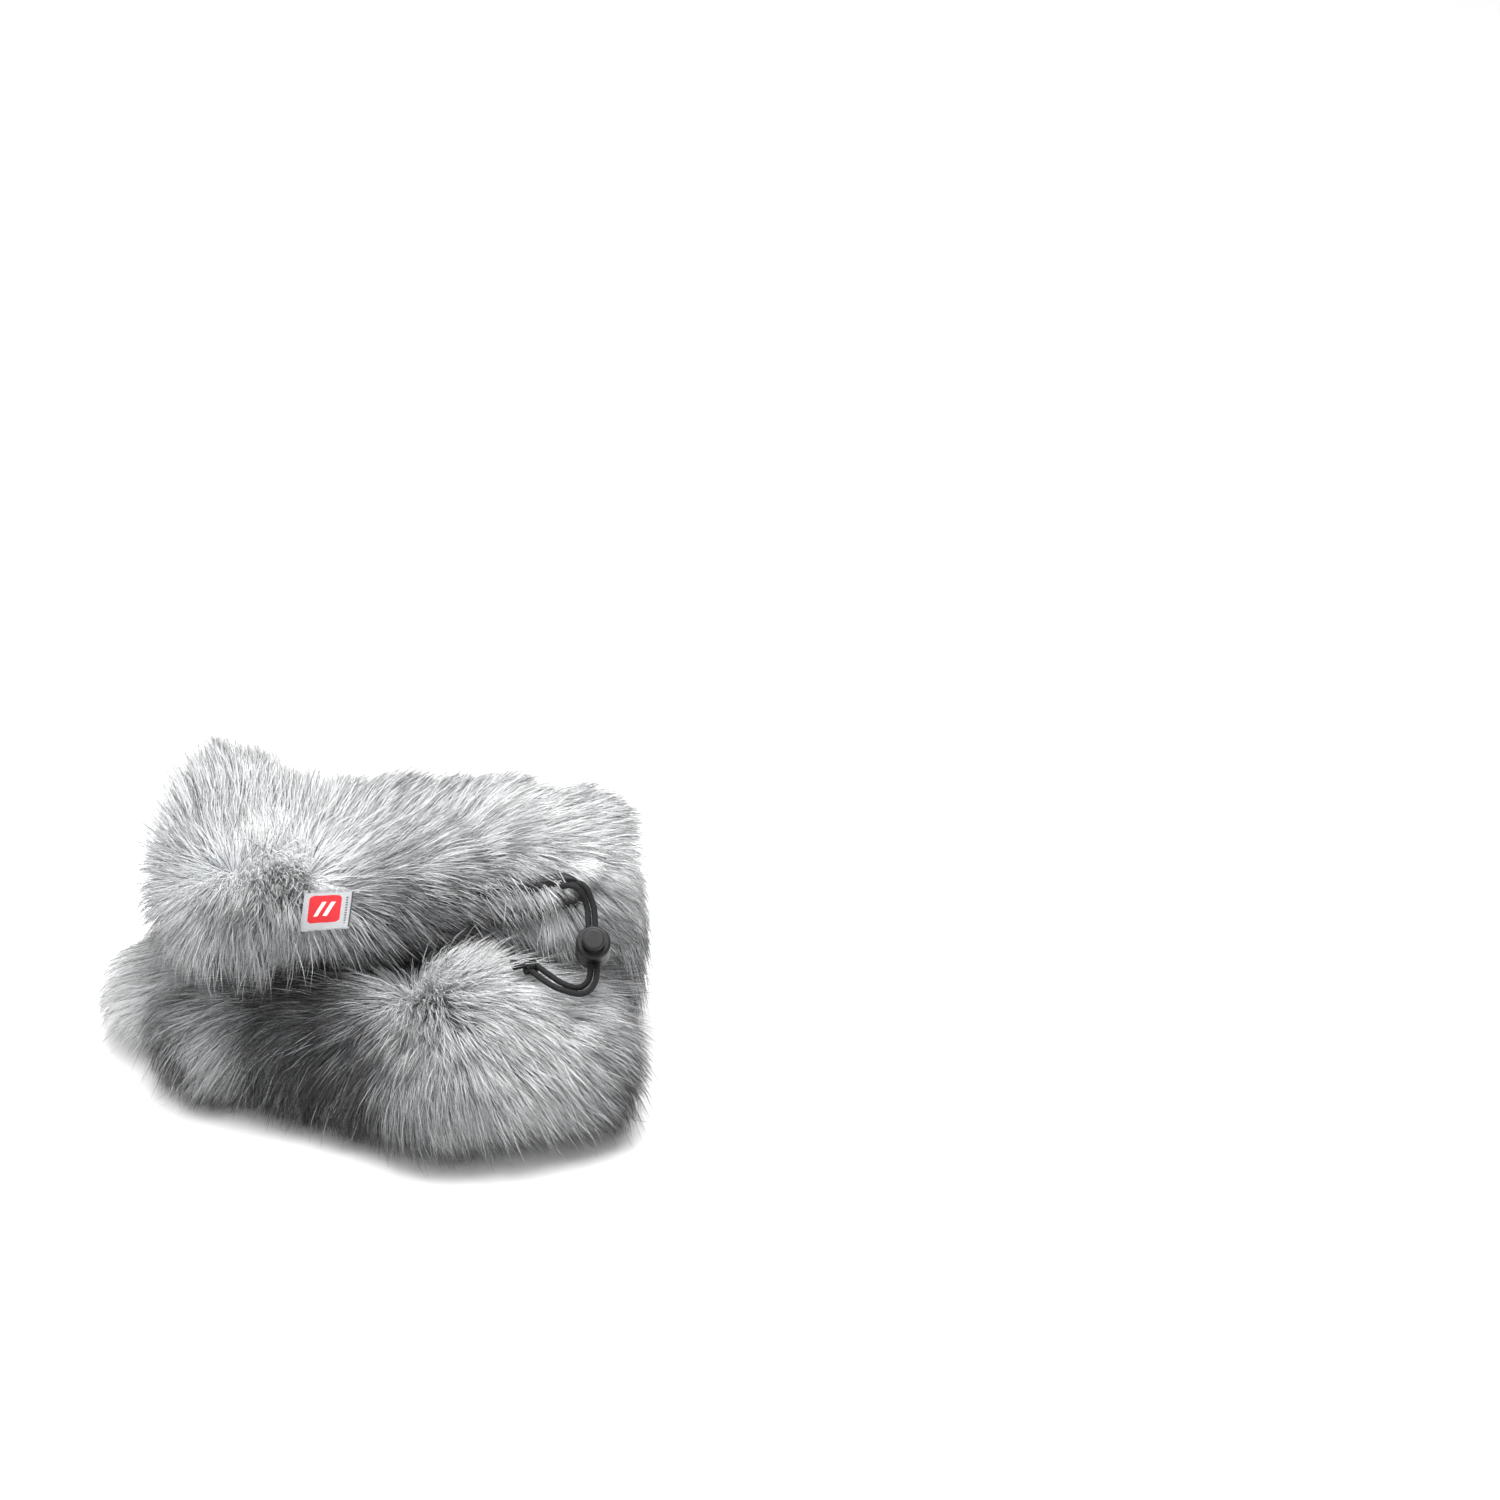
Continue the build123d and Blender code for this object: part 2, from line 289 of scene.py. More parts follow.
def bump(mat, height, strength, distance):
    made = node(mat, "ShaderNodeBump")
    made.inputs["Strength"].default_value = strength
    made.inputs["Distance"].default_value = distance
    link(mat, height, made.inputs["Height"])
    feed(mat, "Normal", made.outputs["Normal"])


def shader_of(mat):
    return mat.node_tree.nodes["Principled BSDF"]


def fur_material():
    """Silky pile: u on the strand map runs from root to tip, v is the strand's shade: its own colour with
    painted light and shade in it.
    """
    mat = new_material("fur_pile", (0.6, 0.6, 0.62), 0.42, Specular_IOR_Level=0.35)
    place = node(mat, "ShaderNodeUVMap", uv_map="OFBake")
    split = node(mat, "ShaderNodeSeparateXYZ")
    link(mat, place.outputs["UV"], split.inputs[0])
    along, shade = split.outputs["X"], split.outputs["Y"]
    white = [
        (0.0, (0.72, 0.73, 0.75)),
        (0.14, (0.84, 0.85, 0.87)),
        (0.40, (0.965, 0.97, 0.975)),
        (0.84, (0.94, 0.945, 0.95)),
        (0.95, (0.60, 0.60, 0.61)),
        (1.0, (0.18, 0.18, 0.19)),
    ]
    tipped = [
        (0.0, (0.46, 0.47, 0.49)),
        (0.15, (0.60, 0.61, 0.63)),
        (0.45, (0.85, 0.86, 0.87)),
        (0.70, (0.68, 0.685, 0.695)),
        (0.85, (0.17, 0.17, 0.175)),
        (1.0, (0.022, 0.022, 0.024)),
    ]
    dark = [
        (0.0, (0.12, 0.125, 0.135)),
        (0.30, (0.19, 0.195, 0.205)),
        (0.55, (0.075, 0.076, 0.08)),
        (0.75, (0.020, 0.020, 0.022)),
        (1.0, (0.010, 0.010, 0.011)),
    ]
    low = math_node(mat, "DIVIDE", shade, 0.32)
    high = math_node(mat, "DIVIDE", math_node(mat, "SUBTRACT", shade, 0.45), 0.5)
    dark, tipped, white = (ramp(mat, along, stops) for stops in (dark, tipped, white))
    base = mix_colour(mat, clamped(mat, low), dark, tipped)
    base = mix_colour(mat, clamped(mat, high), base, white)
    # neighbouring shades are a little warmer or cooler
    hue = node(mat, "ShaderNodeTexNoise", noise_dimensions="1D")
    hue.inputs["Scale"].default_value = 90.0
    link(mat, shade, hue.inputs["W"])
    tint = ramp(mat, hue.outputs["Fac"], [(0.35, (1.0, 0.99, 0.975)), (0.65, (0.965, 0.985, 1.0))])
    feed(mat, "Base Color", mix_colour(mat, 1.0, base, tint, "MULTIPLY"))
    return mat


def underfur_material():
    """The short dense underfur and knit that shows between the long strands."""
    mat = new_material("underfur", (0.2, 0.2, 0.21), 0.9)
    fine = noise_of(mat, 900.0, 3.0)
    greys = [(0.3, (0.22, 0.222, 0.23)), (0.7, (0.62, 0.625, 0.635))]
    feed(mat, "Base Color", ramp(mat, fine, greys))
    bump(mat, fine, 0.8, 0.001)
    return mat


def woven_material(name, dark, light, scale, roughness=0.85):
    """A fine woven cloth: two crossed thread directions in object space."""
    mat = new_material(name, light, roughness, Sheen_Weight=0.15)
    place = node(mat, "ShaderNodeTexCoord").outputs["Object"]
    x, y, z = (wave_of(mat, place, axis, scale, 0.6) for axis in "XYZ")
    height = math_node(mat, "MAXIMUM", math_node(mat, "MULTIPLY", x, z), y)
    worn = mix_colour(mat, 0.25, height, noise_of(mat, scale * 0.4))
    feed(mat, "Base Color", ramp(mat, worn, [(0.2, dark), (0.8, light)]))
    bump(mat, height, 0.5, 0.0002)
    return mat


def plastic_material():
    """Moulded black plastic with a fine grain and a little dust on it."""
    mat = new_material("lock_plastic", (0.02, 0.02, 0.022), 0.42, Specular_IOR_Level=0.36)
    dust = noise_of(mat, 220.0, 5.0)
    black = [(0.45, (0.007, 0.007, 0.008)), (0.75, (0.022, 0.022, 0.025))]
    feed(mat, "Base Color", ramp(mat, dust, black))
    feed(mat, "Roughness", ramp(mat, dust, [(0.4, 0.36), (0.75, 0.55)]))
    bump(mat, noise_of(mat, 2600.0), 0.25, 0.0001)
    return mat


def cord_material():
    """Braided black cord: crossing diagonal strands along the tube."""
    mat = new_material("drawcord", (0.012, 0.012, 0.013), 0.62, Specular_IOR_Level=0.3)
    place = node(mat, "ShaderNodeTexCoord").outputs["Object"]
    waves = []
    for turn in (0.9, -0.9):
        spin = node(mat, "ShaderNodeMapping")
        spin.inputs["Rotation"].default_value = (turn, 0.3, turn)
        link(mat, place, spin.inputs["Vector"])
        waves.append(wave_of(mat, spin.outputs["Vector"], "X", 520.0))
    height = math_node(mat, "MAXIMUM", *waves)
    black = [(0.3, (0.003, 0.003, 0.0035)), (0.9, (0.018, 0.018, 0.020))]
    feed(mat, "Base Color", ramp(mat, height, black))
    bump(mat, height, 0.7, 0.0003)
    return mat


def steel_material():
    """Drawn spring wire."""
    mat = new_material("spring_steel", (0.55, 0.55, 0.56), 0.3, Metallic=1.0)
    feed(mat, "Roughness", ramp(mat, noise_of(mat, 1500.0), [(0.3, 0.22), (0.7, 0.42)]))
    return mat


def floor_material():
    return new_material("pale_floor", (0.95, 0.95, 0.95), 0.8, Specular_IOR_Level=0.2)


# ---------------------------------------------------------------- fur skins

def superquadric(low, high, power, cuts=24):
    """A closed rounded block between two corners, as points and faces; a higher power is squarer."""
    centre = (np.array(low) + np.array(high)) / 2
    half = (np.array(high) - np.array(low)) / 2
    grid = np.linspace(-1, 1, cuts + 1)
    index, faces = {}, []
    for axis in range(3):
        others = [a for a in range(3) if a != axis]
        for side in (0, cuts):
            for a in range(cuts):
                for b in range(cuts):
                    corner = []
                    for da, db in ((0, 0), (1, 0), (1, 1), (0, 1)):
                        place = [0, 0, 0]
                        place[axis] = side
                        place[others[0]] = a + da
                        place[others[1]] = b + db
                        corner.append(index.setdefault(tuple(place), len(index)))
                    outward = (side > 0) != (axis == 1)
                    faces.append(corner if outward else corner[::-1])
    round_block = unit(grid[np.array(list(index))])
    round_block = round_block / (np.abs(round_block) ** power).sum(1)[:, None] ** (1 / power)
    return (centre + round_block * half).tolist(), faces


def applied(piece):
    """piece with its modifiers applied to a new mesh."""
    graph = bpy.context.evaluated_depsgraph_get()
    mesh = bpy.data.meshes.new_from_object(piece.evaluated_get(graph))
    piece.modifiers.clear()
    piece.data = mesh
    return piece


def skin_of(name, lobes, lump, seed, voxel=0.003):
    """One soft closed skin round several lobes, with their joins softened and low folds in it."""
    points, faces = [], []
    for low, high, power in lobes:
        lobe_points, lobe_faces = superquadric(low, high, power)
        faces += [[i + len(points) for i in face] for face in lobe_faces]
        points += lobe_points
    mesh = bpy.data.meshes.new(name)
    mesh.from_pydata(points, [], faces)
    skin = add_object(name, mesh)
    remesh = skin.modifiers.new("remesh", "REMESH")
    remesh.mode = "VOXEL"
    remesh.voxel_size = voxel
    smooth = skin.modifiers.new("smooth", "SMOOTH")
    smooth.factor = 0.5
    smooth.iterations = 8
    applied(skin)
    offset = Vector((seed * 3.1, seed * 1.7, seed * 0.9))
    for vertex in skin.data.vertices:
        way = vertex.normal.copy()
        lift = noise.noise(vertex.co * 28 + offset) + 0.5 * noise.noise(vertex.co * 60 + offset)
        vertex.co = vertex.co + way * lift * lump
    skin.data.shade_smooth()
    return skin


def cut_away(skin, chosen):
    """Delete the faces of a skin whose middles are chosen."""
    mesh = bmesh.new()
    mesh.from_mesh(skin.data)
    middles = np.array([face.calc_center_median() for face in mesh.faces])
    mesh.faces.ensure_lookup_table()
    gone = [mesh.faces[i] for i in np.flatnonzero(chosen(middles))]
    bmesh.ops.delete(mesh, geom=gone, context="FACES")
    mesh.to_mesh(skin.data)
    mesh.free()


def lower_skin():
    low, high = LOWER_LOW, LOWER_HIGH
    front, back, top = END_LOW[1], high[1] - 0.014, END_HIGH[2]
    lobes = [
        ((-0.098, 0.004, 0.005), (0.060, back, top - 0.010), 2.7),
        ((-0.080, front + 0.024, 0.004), (high[0] - 0.006, back, top - 0.010), 3.4),
        ((-0.082, front + 0.012, 0.005), (-0.026, 0.030, top - 0.006), 2.5),
        ((-0.046, -0.040, 0.004), (0.030, 0.000, 0.046), 2.3),
        ((-0.022, -0.058, 0.004), (0.050, -0.005, 0.050), 2.3),
        ((-0.004, low[1] + 0.014, 0.004), (high[0] - 0.008, -0.010, high[2] - 0.012), 2.4),
        ((0.012, low[1] + 0.018, 0.010), (0.074, -0.018, high[2] - 0.007), 2.2),
        ((HINGE[0] - 0.036, -0.011, 0.009), (HINGE[0] - 0.0035, 0.074, 0.046), 3.4),
    ]
    return skin_of("skin_lower", lobes, 0.0035, 3)


def upper_skin():
    low, high = UPPER_LOW, UPPER_HIGH
    lobes = [
        ((low[0] + 0.024, -0.002, low[2] + 0.008), (0.040, high[1] - 0.018, high[2] - 0.014), 2.7),
        ((-0.060, -0.0105, low[2] + 0.008), (high[0] - 0.006, high[1] - 0.018, high[2] - 0.013), 3.2),
        ((low[0] + 0.022, low[1] + 0.010, low[2] + 0.019), (-0.022, 0.045, high[2] - 0.011), 2.4),
        ((0.020, -0.002, low[2] + 0.014), (0.088, 0.060, high[2] - 0.009), 2.2),
        ((HINGE[0] - 0.036, -0.010, 0.058), (HINGE[0] - 0.0035, 0.066, 0.089), 3.0),
    ]
    return skin_of("skin_upper", lobes, 0.0035, 8)


def fold_skin():
    lobes = [
        ((HINGE[0] - 0.034, -0.010, 0.008), (FOLD_HIGH[0] - 0.012, 0.070, 2 * HINGE[2] - 0.010), 2.9),
    ]
    skin = skin_of("skin_fold", lobes, 0.002, 5)
    cut_away(skin, lambda middles: middles[:, 0] < HINGE[0] - 0.003)
    return skin


HEM_MIDDLE = Vector((0.044, -0.012, 0.082))
HEM_TILT = math.radians(8)
SLIT_HALF = (0.036, 0.0045)


def slit_place(points):
    """How far along and across the slit each point lies, and how far behind the casing's middle."""
    d = points - np.array(HEM_MIDDLE)
    along = d[:, 0] * math.cos(HEM_TILT) + d[:, 2] * math.sin(HEM_TILT)
    across = d[:, 2] * math.cos(HEM_TILT) - d[:, 0] * math.sin(HEM_TILT)
    return along, across, d[:, 1]


def in_slit(points):
    along, across, depth = slit_place(points)
    return (np.abs(along) < SLIT_HALF[0]) & (np.abs(across) < SLIT_HALF[1]) & (depth < 0.018)


def to_rim(roots):
    """Move the roots that fall in the slit to its upper or lower rim."""
    across = slit_place(roots)[1]
    shift = np.where(in_slit(roots), np.sign(across) * (SLIT_HALF[1] + 0.0006) - across, 0.0)
    return roots + shift[:, None] * np.array([-math.sin(HEM_TILT), 0.0, math.cos(HEM_TILT)])


def lining_of(skin, name, inset, mat):
    """The knitted backing just inside a skin."""
    mesh = skin.data.copy()
    mesh.name = name
    for vertex in mesh.vertices:
        vertex.co = vertex.co - vertex.normal * inset
    paint(mesh, mat)
    lining = add_object(name, mesh)
    return lining


SEAM_X = -0.078
TAPE_HALF = 0.005
STITCH_STEP = 0.0044
STITCH_LENGTH = 0.0026
STITCH_RADIUS = 0.00028


def band_of(lining, name, mat):
    """A tape over the end seam, inside the lining."""
    mesh = bmesh.new()
    mesh.from_mesh(lining.data)
    for x, way in ((SEAM_X - TAPE_HALF, -1), (SEAM_X + TAPE_HALF, 1)):
        everything = mesh.verts[:] + mesh.edges[:] + mesh.faces[:]
        bmesh.ops.bisect_plane(
            mesh, geom=everything, plane_co=(x, 0, 0), plane_no=(way, 0, 0), clear_outer=True
        )
    mesh.normal_update()
    for vertex in mesh.verts:
        vertex.co = vertex.co - vertex.normal * 0.0012
    data = bpy.data.meshes.new(name)
    mesh.to_mesh(data)
    mesh.free()
    paint(data, mat)
    data.shade_smooth()
    band = add_object(name, data)
    solid = band.modifiers.new("solid", "SOLIDIFY")
    solid.thickness = 0.0007
    applied(band)
    return band


def seam_stitches(band, name, mat):
    """Short stitches all along one edge row of a tape."""
    edge_x = SEAM_X + TAPE_HALF
    rim = np.array([v.co for v in band.data.vertices if abs(v.co.x - edge_x) < 0.0009])
    middle = rim.mean(0)
    angle = np.arctan2(rim[:, 2] - middle[2], rim[:, 1] - middle[1])
    rim = rim[np.argsort(angle)]
    steps = np.linalg.norm(np.diff(rim, axis=0, append=rim[:1]), axis=1)
    total = steps.sum()
    along = np.concatenate([[0], np.cumsum(steps)])
    closed = np.concatenate([rim, rim[:1]])
    points, faces = [], []
    for start in np.arange(0, total - 0.003, STITCH_STEP):
        both = (start, start + STITCH_LENGTH)
        a, b = (np.array([np.interp(q, along, closed[:, i]) for i in range(3)]) for q in both)
        inward = unit((middle - (a + b) / 2) * np.array([0.0, 1.0, 1.0]))
        across = unit(np.cross(b - a, inward))
        base = len(points)
        for place, size in ((a, 0.4), (a * 0.7 + b * 0.3, 1.0), (a * 0.3 + b * 0.7, 1.0), (b, 0.4)):
            centre = place - np.array([0.0025, 0, 0]) + inward * (0.0005 + 0.0003 * size)
            for k in range(6):
                turn = 2 * math.pi * k / 6
                around = across * math.cos(turn) + inward * math.sin(turn)
                points.append(centre + around * STITCH_RADIUS * size)
        for ring in range(3):
            for k in range(6):
                p, q = base + ring * 6 + k, base + ring * 6 + (k + 1) % 6
                faces.append((p, q, q + 6, p + 6))
        faces.append([base + k for k in range(5, -1, -1)])
        faces.append([base + 18 + k for k in range(6)])
    data = bpy.data.meshes.new(name)
    data.from_pydata([tuple(p) for p in points], [], faces)
    data.materials.append(mat)
    data.shade_smooth()
    row = add_object(name, data)
    return row


# ---------------------------------------------------------------- fur strands

SWIRL_UPPER = np.array([-0.043, -0.005, 0.091])
SWIRL_LOBE = np.array([0.021, -0.038, 0.054])
CASING_END = (0.082, -0.006, 0.092)
RING_AT = np.array([0.0, 0.20, 0.44, 0.72, 1.0])
SHADE_STEP = 0.002
STRANDS_PER_PIECE = 9000
STRAND_RADIUS = (0.00010, 0.00019)
PILE_LENGTH = 0.027
FOLD_PILE_LENGTH = 0.024
HALF_STRANDS = 46000
FOLD_STRANDS = 8500


def unit(v):
    return v / np.maximum(np.linalg.norm(v, axis=-1, keepdims=True), 1e-9)


def bell(points, centre, width):
    """1 at a centre, fading out over width."""
    return np.exp(-((np.linalg.norm(points - np.array(centre), axis=1) / width) ** 2))


def smooth_noise(points, scale, seed):
    """A soft random value from -1 to 1 at each point."""
    shift = Vector((seed * 7.3, seed * 2.9, seed * 5.1))
    return np.array([noise.noise(Vector(p) * scale + shift) for p in points])


def sample_skin(skin, count, density, rng):
    """Root points on the skin and their normals, spread by area times density(points, normals)."""
    mesh = skin.data
    mesh.calc_loop_triangles()

    def read(rows, key, kind=float):
        values = np.empty(len(rows) * 3, kind)
        rows.foreach_get(key, values)
        return values.reshape(-1, 3)

    co, no = read(mesh.vertices, "co"), read(mesh.vertices, "normal")
    tri = read(mesh.loop_triangles, "vertices", int)
    a, b, c = (co[tri[:, i]] for i in range(3))
    area = np.linalg.norm(np.cross(b - a, c - a), axis=1)
    middle = (a + b + c) / 3
    facing = unit(no[tri].sum(1))
    weight = area * density(middle, facing)
    chosen = rng.choice(len(area), count, p=weight / weight.sum())
    u, v = rng.random((2, count, 1))
    over = u + v > 1
    u, v = np.where(over, 1 - u, u), np.where(over, 1 - v, v)
    roots = a[chosen] + u * (b - a)[chosen] + v * (c - a)[chosen]
    n = tri[chosen]
    normals = unit(no[n[:, 0]] * (1 - u - v) + no[n[:, 1]] * u + no[n[:, 2]] * v)
    return roots, normals


def wander(points, strength, scale, seed):
    """Soft random vectors that keep a flow from being regular."""
    parts = [smooth_noise(points, scale, seed + i) for i in range(3)]
    return np.stack(parts, axis=1) * strength


def soft_away(points, centre, parting):
    """Directions away from a swirl's middle, which fade out in the middle itself."""
    d = points + wander(points, 0.012, 45, 71) - centre
    d[:, 0] = np.sign(d[:, 0]) * np.maximum(np.abs(d[:, 0]) - parting, 0)
    d = d * np.array([1.0, 1.0, 0.6])
    return d / np.sqrt((d**2).sum(1, keepdims=True) + 0.008**2)


OVER_SLIT = [((0.066, -0.004, 0.090), 0.020), ((0.050, -0.006, 0.088), 0.014), (CASING_END, 0.012)]


def crease_flow(p):
    """Between the halves the pile lies away from the fold, and toward it close to the fold."""
    toward = np.clip((p[:, 0:1] - 0.050) / 0.02, 0, 1)
    return np.array([-1.0, -0.17, 0.0]) * (1 - 2 * toward)


def flow_upper(p, n):
    radial = soft_away(p, SWIRL_UPPER, 0.009)
    side = 1 - np.abs(n[:, 2:3])
    right = np.clip((p[:, 0:1] + 0.02) / 0.1, 0, 1)
    d = radial + side * np.array([0.0, 0.0, -0.75]) + right * np.array([0.75, -0.12, 0.0])
    over_slit = tufts(p, OVER_SLIT)[:, None]
    d = d * (1 - 0.9 * over_slit) + over_slit * np.array([0.50, -0.60, -1.3])
    above_slit = tufts(p, [((0.022, -0.006, 0.088), 0.020)])[:, None]
    d = d * (1 - 0.8 * above_slit) + above_slit * np.array([0.9, -0.5, -0.8])
    d = d + wander(p, 0.75, 24, 11) + wander(p, 0.35, 75, 21)
    under = np.clip(-n[:, 2:3] * 2 - 0.6, 0, 1)
    return d * (1 - under) + under * crease_flow(p)


def flow_lower(p, n):
    away = soft_away(p, SWIRL_LOBE, 0.006)
    rule = bell(p, SWIRL_LOBE, 0.085)[:, None]
    side = 1 - np.abs(n[:, 2:3])
    outward = 0.5 * unit((p - np.array([-0.01, 0.03, 0.03])) * np.array([1.0, 1.0, 0.0]))
    d = away * rule * 1.7 + side * np.array([0.10, 0.0, -0.95]) + outward
    # the hair on both sides of the crease between the two front lobes runs down into it
    left_lobe = np.clip((-0.012 - p[:, 0:1]) / 0.03, 0, 1) * np.clip((-n[:, 1:2] - 0.1) * 2, 0, 1)
    toward_crease = (p[:, 0:1] + 0.060) / 0.055
    d = d + left_lobe * (toward_crease * np.array([0.45, 0.0, 0.0]) + np.array([-0.1, 0.0, -0.7]))
    d = d + np.clip((p[:, 0:1] - 0.03) / 0.05, 0, 1) * np.array([0.45, 0.0, 0.0])
    behind = np.clip((p[:, 1:2] + 0.046) / 0.016, 0, 1) * np.clip((p[:, 0:1] - 0.005) / 0.02, 0, 1)
    d = d * (1 - 0.55 * behind) + behind * np.array([1.0, 0.0, 0.0])
    d = d + wander(p, 0.70, 24, 41) + wander(p, 0.35, 75, 51)
    inner = np.clip(n[:, 2:3] * 2 - 0.8, 0, 1) * np.clip((p[:, 1:2] + 0.022) / 0.012, 0, 1)
    return d * (1 - inner) + inner * crease_flow(p)


def flow_fold(p, n):
    high = np.clip((p[:, 2:3] - HINGE[2]) / 0.03, -1, 1)
    d = np.array([0.35, -0.25, -0.9]) + high * np.array([0.25, 0.0, 0.2])
    d = d + wander(p, 0.55, 26, 61)
    top = np.clip(n[:, 2:3] * 2 - 0.7, 0, 1)
    return d * (1 - top) + top * np.array([1.0, -0.1, 0.0])


def nearest(points, guides):
    """The index of each point's nearest guide."""
    tree = kdtree.KDTree(len(guides))
    for i, g in enumerate(guides):
        tree.insert(g, i)
    tree.balance()
    return np.array([tree.find(p)[1] for p in points])


def strand_paths(roots, normals, flow, length, rise, rng):
    """Each strand's points at RING_AT: it leaves the skin, leans over along the flow and droops."""
    t = RING_AT[None, :, None]
    lift = rise[:, None, None] * (1.75 * t - 0.75 * t * t)
    along = np.sqrt(np.clip(1 - rise**2, 0.05, 1))[:, None, None] * (0.62 * t + 0.38 * t * t)
    paths = normals[:, None] * lift + flow[:, None] * along
    paths = paths - UP * 0.10 * t**2 * np.clip(1 - normals[:, None, 2:3], 0.0, 1.0)
    side = np.cross(normals, flow)
    bend = rng.normal(0, 0.07, len(roots))[:, None, None]
    paths = paths + side[:, None] * bend * np.sin(t * 2.4 + rng.random(len(roots))[:, None, None] * 3) * t
    return roots[:, None] + paths * length[:, None, None]


def comb(roots, normals, flow_at, rng, rise_at, length_at):
    """Strand paths in two sizes of clump, whose tips draw together."""
    def paths_of(p, n, spread, lift_spread):
        f = flow_at(p, n)
        f = unit(f - (f * n).sum(1)[:, None] * n)
        s = np.cross(n, f)
        turn = rng.normal(0, spread, len(p))[:, None]
        f = f * np.cos(turn) + s * np.sin(turn)
        rise = np.clip(rise_at(p, n) * rng.normal(1, lift_spread, len(p)), 0.10, 0.93)
        return strand_paths(p, n, f, length_at(p, n) * rng.normal(1, 0.10, len(p)), rise, rng)

    own = paths_of(roots, normals, 0.22, 0.24)
    loose = rng.random(len(roots)) < 0.12
    stray = np.where(loose, rng.uniform(1.0, 1.32, len(roots)), 1.0)
    own = own[:, :1] + (own - own[:, :1]) * stray[:, None, None]
    for spacing, pull, spread in ((0.0030, 0.46, 0.16), (0.010, 0.34, 0.26)):
        count = max(12, int(len(roots) * 0.0018 / spacing / 20))
        chosen = rng.choice(len(roots), min(count, len(roots)), replace=False)
        guides = paths_of(roots[chosen], normals[chosen], spread, 0.25)
        near = nearest(roots, roots[chosen])
        target = guides[near] - guides[near][:, :1] + roots[chosen][near][:, None]
        pulls = pull * rng.uniform(0.4, 1.25, len(roots)) * np.where(loose, 0.15, 1.0)
        weight = (RING_AT**1.6)[None, :, None] * pulls[:, None, None]
        own = own * (1 - weight) + (target + (own[:, :1] - target[:, :1]) * 0.25) * weight
    return own


def strand_mesh(name, paths, radius, shade, mat):
    """Closed tapered three-sided strands, with the strand map in OFBake."""
    count, rings = len(paths), len(RING_AT) - 1
    tangent = unit(np.gradient(paths, axis=1))
    helper = np.where(np.abs(tangent[..., 2:3]) > 0.9, [1.0, 0.0, 0.0], UP)
    side = unit(np.cross(tangent, helper))
    other = np.cross(tangent, side)
    taper = np.sqrt(np.clip(1 - RING_AT[:-1] ** 1.7, 0.02, 1)) * np.where(RING_AT[:-1] > 0, 1.0, 0.7)
    points = np.empty((count, rings * 3 + 1, 3))
    for k in range(3):
        angle = 2 * math.pi * k / 3
        around = side[:, :-1] * math.cos(angle) + other[:, :-1] * math.sin(angle)
        points[:, k : rings * 3 : 3] = paths[:, :-1] + around * (radius[:, None] * taper)[..., None]
    points[:, -1] = paths[:, -1]

    quads, quad_uv, tips, tip_uv = [], [], [], []
    for r in range(rings - 1):
        for k in range(3):
            a, b = r * 3 + k, r * 3 + (k + 1) % 3
            quads.append((a, b, b + 3, a + 3))
            u0, u1 = RING_AT[r], RING_AT[r + 1]
            quad_uv.append(((u0, k), (u0, k + 1), (u1, k + 1), (u1, k)))
    for k in range(3):
        a, b = (rings - 1) * 3 + k, (rings - 1) * 3 + (k + 1) % 3
        tips.append((a, b, rings * 3))
        tip_uv.append(((RING_AT[-2], k), (RING_AT[-2], k + 1), (1.0, k + 0.5)))
    base = (np.arange(count) * (rings * 3 + 1))[:, None, None]
    quad_loops = (np.array(quads)[None] + base).reshape(-1)
    tip_loops = (np.array(tips)[None] + base).reshape(-1)
    loops = np.concatenate([quad_loops, tip_loops])
    sizes = np.concatenate([np.full(count * len(quads), 4), np.full(count * len(tips), 3)])
    starts = np.concatenate([[0], np.cumsum(sizes)[:-1]])

    mesh = bpy.data.meshes.new(name)
    mesh.vertices.add(points.shape[0] * points.shape[1])
    mesh.vertices.foreach_set("co", points.astype(np.float32).ravel())
    mesh.loops.add(len(loops))
    mesh.loops.foreach_set("vertex_index", loops.astype(np.int32))
    mesh.polygons.add(len(sizes))
    mesh.polygons.foreach_set("loop_start", starts.astype(np.int32))
    mesh.update(calc_edges=True)
    mesh.shade_smooth()

    def laid(uv):
        uv = np.array(uv, float).reshape(1, -1, 2).repeat(count, 0)
        uv[..., 0] = 0.004 + 0.992 * uv[..., 0]
        uv[..., 1] = shade[:, None] + SHADE_STEP * uv[..., 1]
        return uv.reshape(-1, 2)

    layer = mesh.uv_layers.new(name="OFBake")
    both = np.concatenate([laid(quad_uv), laid(tip_uv)])
    layer.uv.foreach_set("vector", both.astype(np.float32).ravel())
    mesh.materials.append(mat)
    piece = add_object(name, mesh)
    return piece


def thin_near(paths, keep_out):
    """The strands that stay clear of every keep-out volume."""
    keep = np.ones(len(paths), bool)
    flat = paths.reshape(-1, 3)
    for inside in keep_out:
        keep &= ~inside(flat).reshape(paths.shape[:2]).any(1)
    return keep


LABEL_W, LABEL_L = 0.020, 0.015
LABEL_SLOPE = math.radians(42)
LABEL_DOWN = (0, -math.sin(LABEL_SLOPE), -math.cos(LABEL_SLOPE))
LABEL_OUT = (0, -math.cos(LABEL_SLOPE), math.sin(LABEL_SLOPE))


def in_label(p):
    """Over the woven label's front and just beside it."""
    d = p - LABEL_AT
    x, o, w = d[:, 0], d @ np.array(LABEL_OUT), d @ np.array(LABEL_DOWN)
    return (np.abs(x) < 0.0104) & (w > 0.0012) & (w < 0.0170) & (o > -0.0022) & (o < 0.03)


